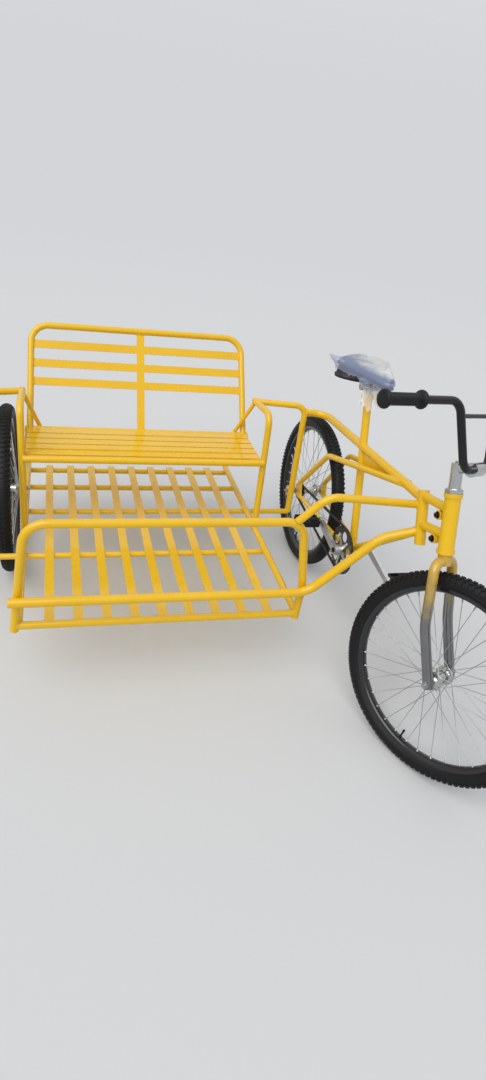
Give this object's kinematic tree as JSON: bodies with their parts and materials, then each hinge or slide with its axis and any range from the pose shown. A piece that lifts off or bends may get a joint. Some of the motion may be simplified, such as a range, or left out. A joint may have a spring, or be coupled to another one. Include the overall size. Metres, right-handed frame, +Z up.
{
  "type": "cycle rickshaw with sidecar",
  "caption": "Pedal-driven bicycle with a welded two-seat slatted sidecar on the rider's right, a third wheel outside it and a steered front wheel.",
  "frame": {"origin": "on the ground under the middle of the whole machine", "axes": "+Z up, -Y forward along the direction of travel, +X to the rider's left"},
  "size_m": [1.6907, 1.767, 1.1442],
  "materials": {
    "yellow_paint": "glossy yellow enamel on welded steel",
    "black_paint": "satin black enamel",
    "fork_paint": "silver paint with yellow overspray",
    "stem_chrome": "dulled chrome plate",
    "crank_steel": "chrome plate",
    "hub_chrome": "dulled chrome plate",
    "rim_alloy": "satin alloy",
    "zinc_steel": "zinc-plated steel",
    "chain_steel": "oily steel",
    "tyre_rubber": "dusty black rubber",
    "grip_rubber": "soft black rubber",
    "pedal_plastic": "moulded black plastic",
    "saddle_vinyl": "black vinyl cover"
  },
  "bodies": {
    "chassis": {"guard_rail": "yellow_paint", "front_bar": "yellow_paint", "side_rails": "yellow_paint", "cross_tubes": "yellow_paint", "platform_slats": "yellow_paint", "head_tube": "yellow_paint", "head_post": "yellow_paint", "lower_brace": "yellow_paint", "upper_brace": "yellow_paint", "armrests": "yellow_paint", "link_bars": "yellow_paint", "outer_rail": "yellow_paint", "axle_plates": "yellow_paint", "seat_frame": "yellow_paint", "seat_slats": "yellow_paint", "back_frame": "yellow_paint", "back_slats": "yellow_paint", "bottom_bracket": "yellow_paint", "seat_tube": "yellow_paint", "top_tube": "yellow_paint", "down_tube": "yellow_paint", "chain_stays": "yellow_paint", "seat_stays": "yellow_paint", "headset_cups": "yellow_paint", "rear_axle": "zinc_steel", "side_axle": "zinc_steel", "chain": "chain_steel", "seat_clamp": "yellow_paint", "saddle": "saddle_vinyl", "saddle_rails": "zinc_steel", "seat_post": "zinc_steel"},
    "steering": {"fork": "fork_paint", "stem": "stem_chrome", "handlebar": "black_paint", "grips": "grip_rubber", "front_axle": "zinc_steel"},
    "front_wheel": {"front_rim": "rim_alloy", "front_tyre": "tyre_rubber", "front_hub": "hub_chrome", "front_spokes": "zinc_steel"},
    "rear_wheel": {"rear_rim": "rim_alloy", "rear_tyre": "tyre_rubber", "rear_hub": "hub_chrome", "rear_spokes": "zinc_steel", "rear_sprocket": "chain_steel"},
    "side_wheel": {"side_rim": "rim_alloy", "side_tyre": "tyre_rubber", "side_hub": "hub_chrome", "side_spokes": "zinc_steel"},
    "crankset": {"chainring": "chain_steel", "cranks": "crank_steel"},
    "pedal_right": {"right_pedal": "pedal_plastic"},
    "pedal_left": {"left_pedal": "pedal_plastic"}
  },
  "joints": [
    {"name": "steer", "type": "hinge", "parent": "chassis", "child": "steering", "pos_m": [0.522, -0.399, 0.753], "axis": [0, 0.3338, 0.9426], "range_deg": [-87, 33]},
    {"name": "front_wheel_spin", "type": "hinge", "parent": "steering", "child": "front_wheel", "pos_m": [0.53799, -0.58438, 0.32352], "axis": [0.891, 0.428, -0.1515], "continuous": true},
    {"name": "rear_wheel_spin", "type": "hinge", "parent": "chassis", "child": "rear_wheel", "pos_m": [0.522, 0.55, 0.327], "axis": [1, 0, 0], "continuous": true},
    {"name": "side_wheel_spin", "type": "hinge", "parent": "chassis", "child": "side_wheel", "pos_m": [-0.741, 0.55, 0.327], "axis": [1, 0, 0], "continuous": true},
    {"name": "crank_spin", "type": "hinge", "parent": "chassis", "child": "crankset", "pos_m": [0.522, 0.061, 0.346], "axis": [1, 0, 0], "continuous": true},
    {"name": "right_pedal_spin", "type": "hinge", "parent": "crankset", "child": "pedal_right", "pos_m": [0.391, 0.22935, 0.36966], "axis": [1, 0, 0], "continuous": true},
    {"name": "left_pedal_spin", "type": "hinge", "parent": "crankset", "child": "pedal_left", "pos_m": [0.653, -0.10735, 0.32234], "axis": [1, 0, 0], "continuous": true}
  ]
}
